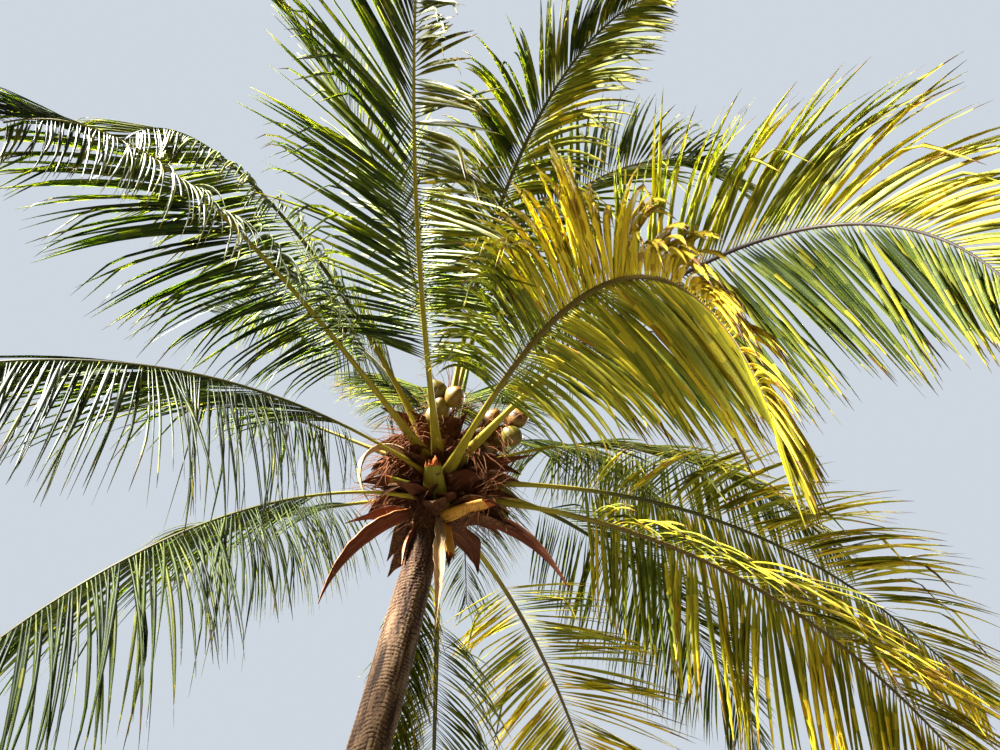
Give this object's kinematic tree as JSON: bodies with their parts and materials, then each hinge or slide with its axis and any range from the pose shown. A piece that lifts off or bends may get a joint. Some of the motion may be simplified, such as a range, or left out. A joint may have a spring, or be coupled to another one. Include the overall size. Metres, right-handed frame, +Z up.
{
  "type": "coconut palm tree",
  "caption": "Leaning coconut palm with a swollen foot, a fibrous crown, arching feather-shaped fronds, bunches of green nuts and dry woody bracts.",
  "frame": {"origin": "middle of the flat cut under the trunk, at ground level", "axes": "+Z up, +X the way the trunk leans, the picture taken from -Y looking up along +Y"},
  "size_m": [9.3765, 9.432, 9.5604],
  "materials": {
    "bark": "matt ringed palm bark",
    "crown_fibre": "matt brown leaf-sheath fibre",
    "young_leaf": "satin folded young leaf",
    "leaflets": "waxy green palm leaflets with yellow and brown tips",
    "husk": "smooth satin coconut husk",
    "woody_bract": "dry ribbed flower bract",
    "leaf_stalk": "smooth waxy leaf base"
  },
  "bodies": {
    "root": {"bract_1": "woody_bract", "bract_2": "woody_bract", "bract_3": "woody_bract", "bract_4": "woody_bract", "bract_5": "woody_bract", "bract_6": "woody_bract", "bract_7": "woody_bract", "bract_8": "woody_bract", "crown_heart": "crown_fibre", "frond_01": "leaflets", "frond_02": "leaflets", "frond_03": "leaflets", "frond_04": "leaflets", "frond_05": "leaflets", "frond_06_inner": "leaflets", "frond_06_outer": "leaflets", "frond_07": "leaflets", "frond_08": "leaflets", "frond_09_inner": "leaflets", "frond_09_outer": "leaflets", "frond_10_inner": "leaflets", "frond_10_outer": "leaflets", "frond_11_inner": "leaflets", "frond_11_outer": "leaflets", "frond_12": "leaflets", "frond_13": "leaflets", "frond_14_inner": "leaflets", "frond_14_outer": "leaflets", "frond_15": "leaflets", "frond_16_inner": "leaflets", "frond_16_outer": "leaflets", "frond_17_inner": "leaflets", "frond_17_outer": "leaflets", "frond_18": "leaflets", "frond_19_inner": "leaflets", "frond_19_outer": "leaflets", "frond_20_inner": "leaflets", "frond_20_outer": "leaflets", "frond_21_inner": "leaflets", "frond_21_outer": "leaflets", "frond_22": "leaflets", "frond_23": "leaflets", "frond_24": "leaflets", "frond_25": "leaflets", "fruit_bunch_1": "husk", "fruit_bunch_2": "husk", "fruit_bunch_3": "husk", "fruit_bunch_4": "husk", "leaf_stub_1": "leaf_stalk", "leaf_stub_2": "leaf_stalk", "leaf_stub_3": "leaf_stalk", "leaf_stub_4": "leaf_stalk", "leaf_stub_5": "leaf_stalk", "spear_leaf": "young_leaf", "trunk": "bark"}
  },
  "joints": []
}
